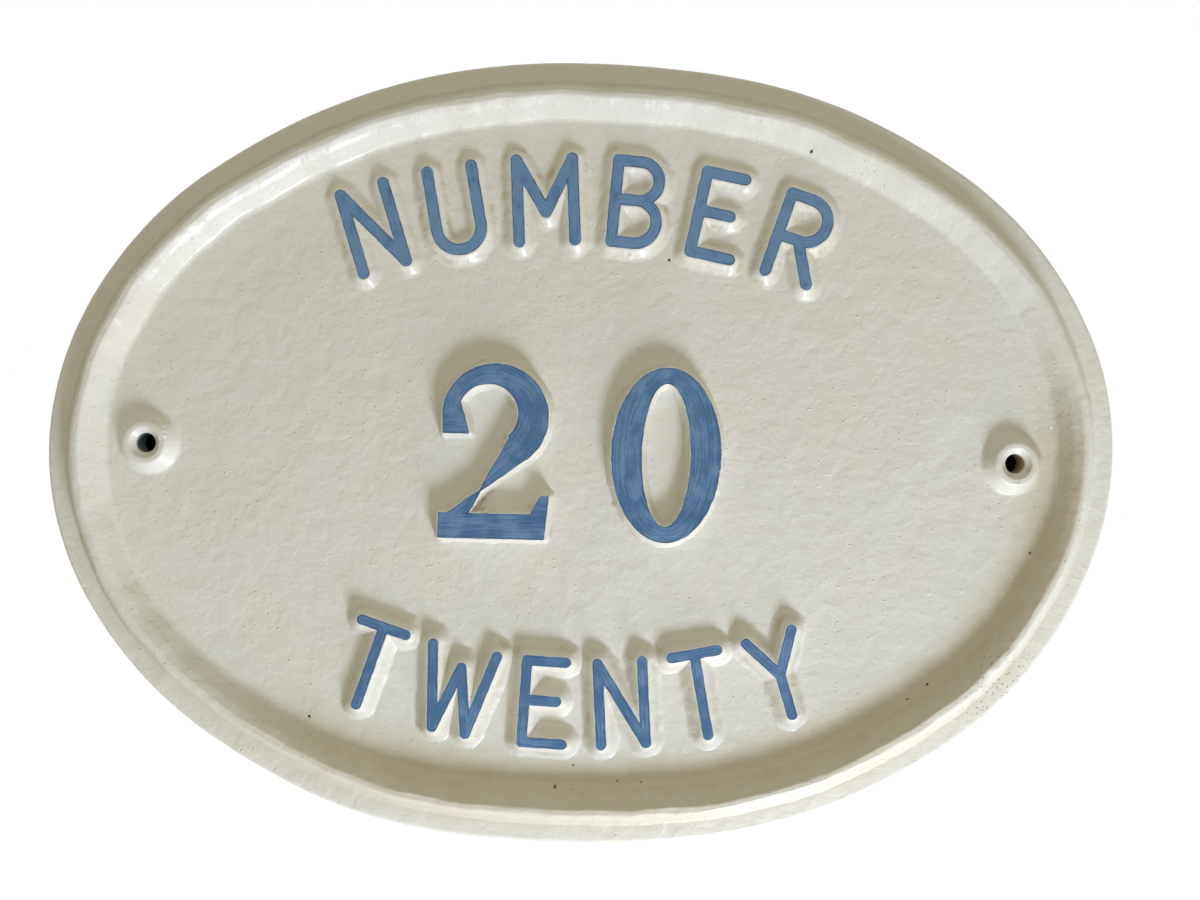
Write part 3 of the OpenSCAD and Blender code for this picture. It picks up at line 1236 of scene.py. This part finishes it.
class PLAQUE_OT_number(bpy.types.Operator):
    """Make the two raised numerals"""

    bl_idname = "plaque.number"
    bl_label = "Number"

    def execute(self, context):
        p = context.scene.plaque_letters
        bm = make_number(p, mm(context.scene.plaque_plate.thickness))
        paint = CreamPaint("number_paint", context.scene.plaque_paint)
        paint.blue_tops(NUMERAL_WANDER, 0.0)
        finish_piece(bm, "number", paint.finish())
        return {"FINISHED"}


class PLAQUE_OT_stage(bpy.types.Operator):
    """Set the floor, the light and the camera"""

    bl_idname = "plaque.stage"
    bl_label = "Stage"

    def execute(self, context):
        p = context.scene.plaque_stage
        scene = context.scene
        self.floor(p)
        self.hole_shadow_discs(scene.plaque_plate)
        self.light(scene, p)
        self.camera(scene, p)
        scene.view_settings.view_transform = "Standard"
        return {"FINISHED"}

    def floor(self, p):
        bm = bmesh.new()
        place = Matrix.Translation((0, 0, -p.floor_drop))
        bmesh.ops.create_grid(bm, x_segments=1, y_segments=1, size=FLOOR_HALF, matrix=place)
        material = bpy.data.materials.new("pale_floor")
        t = Tree(material)
        cloth = t.node("ShaderNodeBsdfDiffuse", {}, {"Color": (0.8, 0.8, 0.8)})
        shine = {"Color": (1.0, 1.0, 1.0), "Strength": t.backdrop() * p.floor_glow}
        glow = t.node("ShaderNodeEmission", {}, shine)
        both = t.node("ShaderNodeAddShader", {}, {0: cloth, 1: glow})
        t.node("ShaderNodeOutputMaterial", {}, {"Surface": both})
        add_object(bm, "floor", material)

    def hole_shadow_discs(self, plate):
        """Two dark discs against the back of the screw holes: painted shadow that makes the
        holes look dark.
        """
        bm = bmesh.new()
        for side in (-1, 1):
            place = Matrix.Translation((side * plate.screw_spacing / 2, DISC_GAP, 0))
            place = place @ Matrix.Rotation(math.pi / 2, 4, "X")
            radius = plate.hole + DISC_EXTRA
            bmesh.ops.create_circle(bm, cap_ends=True, segments=48, radius=radius, matrix=place)
        material = bpy.data.materials.new("painted_hole_shadow")
        t = Tree(material)
        dark = t.node("ShaderNodeBsdfDiffuse", {}, {"Color": (0.008, 0.008, 0.008)})
        t.node("ShaderNodeOutputMaterial", {}, {"Surface": dark})
        add_object(bm, "hole_shadow_discs", material)

    def light(self, scene, p):
        lamps = (
            ("key", KEY_WAY, KEY_TINT, p.key_watts),
            ("low", LOW_WAY, LOW_TINT, p.low_watts),
        )
        for name, toward, tint, watts in lamps:
            way = Vector(toward).normalized()
            data = bpy.data.lights.new(name, "AREA")
            data.shape = "SQUARE"
            data.size = p.key_size
            data.energy = watts
            data.color = tint
            lamp = bpy.data.objects.new(name, data)
            lamp.location = way * p.key_far
            lamp.rotation_euler = way.to_track_quat("Z", "Y").to_euler()
            lamp.visible_camera = False
            scene.collection.objects.link(lamp)
        world = bpy.data.worlds.new("studio")
        scene.world = world
        t = Tree(world)
        where = t.node("ShaderNodeTexCoord", out=0)
        side = t.node(
            "ShaderNodeVectorMath", {"operation": "DOT_PRODUCT"}, {0: where, 1: ROOM_WAY}, out=1
        )
        side = t.ramp(side, -0.8, 0.8)
        tint = t.mix(side, DIM_ROOM, BRIGHT_ROOM)
        strength = (ROOM_LEAST + side * ROOM_GAIN) * p.room
        light = t.node("ShaderNodeBackground", {}, {"Color": tint, "Strength": strength})
        white = t.node("ShaderNodeBackground", {}, {"Color": (1.0, 1.0, 1.0), "Strength": 1.0})
        both = t.node("ShaderNodeMixShader", {}, {0: t.backdrop(), 1: light, 2: white})
        t.node("ShaderNodeOutputWorld", {}, {"Surface": both})

    def camera(self, scene, p):
        data = bpy.data.cameras.new("camera")
        data.sensor_width = 36.0
        data.lens = p.lens
        data.clip_start = 0.01
        camera = bpy.data.objects.new("camera", data)
        camera.location = CAMERA_PLACE
        camera.rotation_euler = (math.pi / 2, -p.roll, 0.0)
        scene.collection.objects.link(camera)
        scene.camera = camera


class PLAQUE_PT_panel(bpy.types.Panel):
    """The plaque's pieces, in the order they are made"""

    bl_idname = "PLAQUE_PT_panel"
    bl_label = "Oval house number plaque"
    bl_space_type = "VIEW_3D"
    bl_region_type = "UI"
    bl_category = "Plaque"

    def draw(self, context):
        for operator in OPERATORS:
            self.layout.operator(operator.bl_idname)


OPERATORS = (
    PLAQUE_OT_casting,
    PLAQUE_OT_words,
    PLAQUE_OT_number,
    PLAQUE_OT_stage,
)
GROUPS = (
    (PlateSizes, "plaque_plate"),
    (LetterSizes, "plaque_letters"),
    (PaintColours, "plaque_paint"),
    (StageSettings, "plaque_stage"),
)


def register():
    for group, name in GROUPS:
        bpy.utils.register_class(group)
        setattr(bpy.types.Scene, name, PointerProperty(type=group))
    for cls in (*OPERATORS, PLAQUE_PT_panel):
        bpy.utils.register_class(cls)


def unregister():
    for cls in (PLAQUE_PT_panel, *reversed(OPERATORS)):
        bpy.utils.unregister_class(cls)
    for group, name in reversed(GROUPS):
        delattr(bpy.types.Scene, name)
        bpy.utils.unregister_class(group)


def main():
    """Makes every piece."""
    register()
    bpy.ops.plaque.casting()
    bpy.ops.plaque.words()
    bpy.ops.plaque.number()
    bpy.ops.plaque.stage()


if __name__ == "__main__":
    main()
